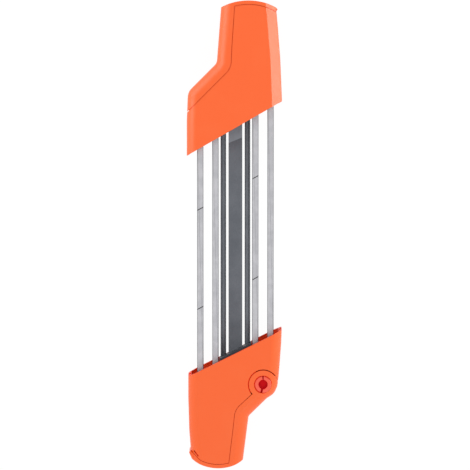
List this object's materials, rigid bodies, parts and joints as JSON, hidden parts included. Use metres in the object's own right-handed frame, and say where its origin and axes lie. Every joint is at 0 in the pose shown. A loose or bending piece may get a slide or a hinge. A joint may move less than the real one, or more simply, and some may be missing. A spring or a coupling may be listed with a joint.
{
  "type": "chainsaw file guide",
  "caption": "Handheld guide for sharpening saw chain: two hollow moulded handles joined by flat steel rails, with round files and a flat file between them.",
  "frame": {"origin": "centre of the tool's bounding box in plan, at its back face, which it lies on", "axes": "+Y along the rails towards the upper handle, whose grip is offset to +X; +Z out of the front face"},
  "size_m": [0.0734, 0.36, 0.036],
  "materials": {
    "orange_plastic": "fine moulded texture, matt",
    "red_plastic": "smooth moulded, matt",
    "dark_plastic": "dark grey, matt",
    "plated_steel": "zinc plated, drawn along the rail",
    "file_steel": "hardened file steel, cut teeth",
    "screw_steel": "zinc plated"
  },
  "bodies": {
    "body": {"upper_front_shell": "orange_plastic", "upper_back_shell": "orange_plastic", "upper_end_cover": "orange_plastic", "lower_front_shell": "orange_plastic", "lower_back_shell": "orange_plastic", "hinge_pin": "red_plastic", "upper_file_holder": "dark_plastic", "lower_file_holder": "dark_plastic", "outer_left_rail": "plated_steel", "inner_left_rail": "plated_steel", "inner_right_rail": "plated_steel", "outer_right_rail": "plated_steel", "flat_file": "file_steel", "outer_left_upper_pin": "screw_steel", "outer_left_lower_pin": "screw_steel", "inner_left_upper_pin": "screw_steel", "inner_left_lower_pin": "screw_steel", "inner_right_upper_pin": "screw_steel", "inner_right_lower_pin": "screw_steel", "outer_right_upper_pin": "screw_steel", "outer_right_lower_pin": "screw_steel", "upper_shell_screw_1": "screw_steel", "upper_shell_screw_2": "screw_steel", "upper_shell_screw_3": "screw_steel", "upper_shell_screw_4": "screw_steel", "lower_shell_screw_1": "screw_steel", "lower_shell_screw_2": "screw_steel", "lower_shell_screw_3": "screw_steel", "lower_shell_screw_4": "screw_steel", "cover_side_screw": "screw_steel", "cover_end_screw": "screw_steel"},
    "lower_cover": {"lower_end_cover": "orange_plastic"},
    "left_file": {"left_round_file": "file_steel"},
    "right_file": {"right_round_file": "file_steel"}
  },
  "joints": [
    {"name": "cover_hinge", "type": "hinge", "parent": "body", "child": "lower_cover", "pos_m": [0.02205, -0.11511, 0.018], "axis": [0, 0, 1], "range_deg": [0, 78]},
    {"name": "left_file_turn", "type": "hinge", "parent": "body", "child": "left_file", "pos_m": [-0.00858, 0, 0.018], "axis": [0, 1, 0], "continuous": true},
    {"name": "right_file_turn", "type": "hinge", "parent": "body", "child": "right_file", "pos_m": [0.01008, 0, 0.018], "axis": [0, 1, 0], "continuous": true}
  ]
}
